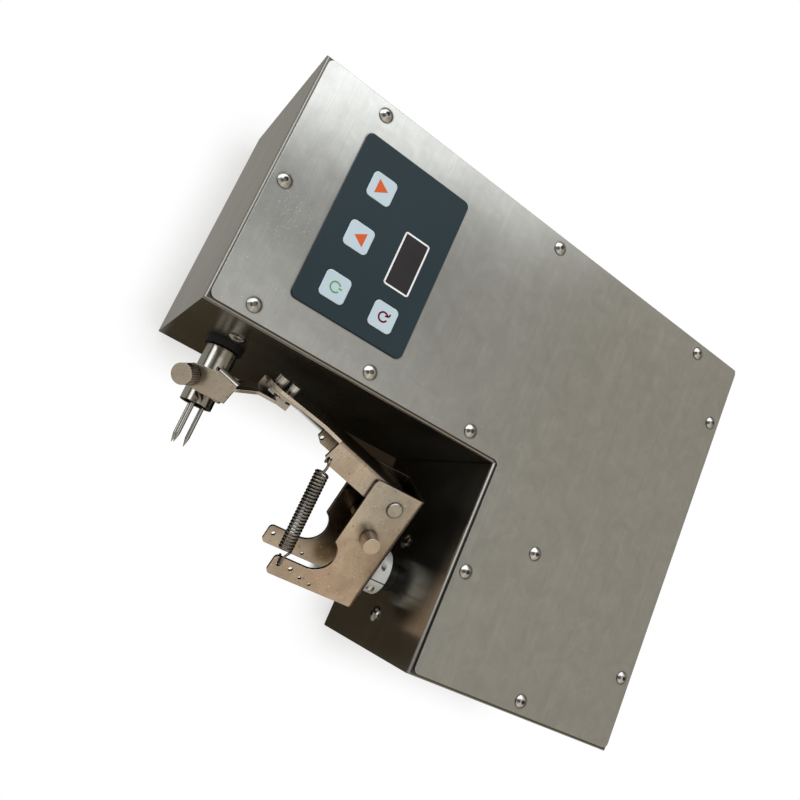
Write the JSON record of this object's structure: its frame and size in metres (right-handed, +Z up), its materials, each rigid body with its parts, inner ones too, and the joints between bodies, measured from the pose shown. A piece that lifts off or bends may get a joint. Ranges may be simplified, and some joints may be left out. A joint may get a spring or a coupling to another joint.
{
  "type": "pumpkin peeling machine",
  "caption": "Countertop peeling machine: L-shaped steel case with a keypad, a driven fork spindle and a swinging arm with a sprung blade lever",
  "frame": {"origin": "Middle of the footprint, on the table under the feet", "axes": "X along the spindle to the right, Y from the user to the back, Z up"},
  "size_m": [0.32, 0.402, 0.1626],
  "materials": {
    "case_steel": "brushed stainless, dark in the bay",
    "cover_steel": "brushed stainless, grain along X",
    "bright_steel": "polished",
    "satin_steel": "satin, warm",
    "spring_wire": "drawn wire",
    "alloy": "machined",
    "black_rubber": "matt",
    "overlay": "fine matt film",
    "window": "smoked",
    "key_cap": "fine matt",
    "black_plastic": "moulded",
    "board": "solder mask",
    "brass": "turned",
    "motor_paint": "satin paint",
    "psu_sheet": "plain"
  },
  "bodies": {
    "housing": {"housing_shell": "case_steel", "base_plate": "case_steel", "top_cover": "cover_steel", "cover_screws": "bright_steel", "cover_post": "satin_steel", "base_screws": "bright_steel", "feet": "black_rubber", "foot_screws": "bright_steel", "keypad_overlay": "overlay", "display_window": "window", "display_module": "black_plastic", "control_board": "board", "key_switches": "black_plastic", "board_standoffs": "brass", "board_screws": "bright_steel", "spindle_ring": "black_rubber", "spindle_block": "alloy", "spindle_bearings": "satin_steel", "spindle_wall_screws": "bright_steel", "spindle_motor": "motor_paint", "motor_bracket": "satin_steel", "motor_screws": "bright_steel", "drive_belt": "black_rubber", "swing_ring": "black_rubber", "swing_block": "alloy", "swing_bearings": "satin_steel", "swing_wall_screws": "bright_steel", "swing_gearmotor": "motor_paint", "gearmotor_stand": "satin_steel", "power_inlet": "black_plastic", "power_supply": "psu_sheet"},
    "up_button": {"up_key": "key_cap"},
    "down_button": {"down_key": "key_cap"},
    "start_button": {"start_key": "key_cap"},
    "reset_button": {"reset_key": "key_cap"},
    "spindle": {"spindle_shaft": "satin_steel", "fork_head": "satin_steel", "fork_pins": "bright_steel", "spindle_pulley": "alloy"},
    "motor": {"motor_pulley": "alloy", "motor_shaft": "satin_steel"},
    "swing_arm": {"swing_shaft": "satin_steel", "clamp_collar": "alloy", "clamp_cap": "alloy", "collar_screws": "satin_steel", "swing_bracket": "satin_steel", "bracket_screws": "bright_steel", "pivot_pin": "satin_steel", "stop_pin": "satin_steel", "tension_spring": "spring_wire"},
    "lever": {"lever_arm": "satin_steel", "blade_bracket": "satin_steel", "blade_screws": "satin_steel", "blade_washers": "satin_steel", "blade_nuts": "satin_steel", "blade_carrier": "satin_steel", "peeler_blade": "bright_steel"},
    "thumb": {"thumb_screw": "satin_steel"}
  },
  "joints": [
    {"name": "spindle_spin", "type": "hinge", "parent": "housing", "child": "spindle", "pos_m": [0.011, -0.166, 0.085], "axis": [1, 0, 0], "continuous": true},
    {"name": "motor_spin", "type": "hinge", "parent": "housing", "child": "motor", "pos_m": [-0.05, -0.071, 0.085], "axis": [1, 0, 0], "continuous": true},
    {"name": "arm_swing", "type": "hinge", "parent": "housing", "child": "swing_arm", "pos_m": [0.106, -0.007, 0.085], "axis": [0, 1, 0], "range_deg": [0, 125]},
    {"name": "lever_pivot", "type": "hinge", "parent": "swing_arm", "child": "lever", "pos_m": [0.05656, -0.0243, 0.10954], "axis": [0.4446, 0, 0.8957], "range_deg": [-2, 8], "stiffness_Nm_per_rad": 3.5, "springref_deg": -1.26, "deforming": ["tension_spring"]},
    {"name": "thumb_turn", "type": "hinge", "parent": "lever", "child": "thumb", "pos_m": [0.04494, -0.18121, 0.10962], "axis": [0.3189, -0.4945, 0.8086], "range_deg": [0, 360]},
    {"name": "up_press", "type": "slide", "parent": "housing", "child": "up_button", "axis": [0, 0, -1], "range_m": [0, 0.0005], "stiffness_N_per_m": 1500},
    {"name": "down_press", "type": "slide", "parent": "housing", "child": "down_button", "axis": [0, 0, -1], "range_m": [0, 0.0005], "stiffness_N_per_m": 1500},
    {"name": "start_press", "type": "slide", "parent": "housing", "child": "start_button", "axis": [0, 0, -1], "range_m": [0, 0.0005], "stiffness_N_per_m": 1500},
    {"name": "reset_press", "type": "slide", "parent": "housing", "child": "reset_button", "axis": [0, 0, -1], "range_m": [0, 0.0005], "stiffness_N_per_m": 1500}
  ],
  "couplings": [
    {"joint": "motor_spin", "follows": "spindle_spin", "ratio": 2}
  ]
}
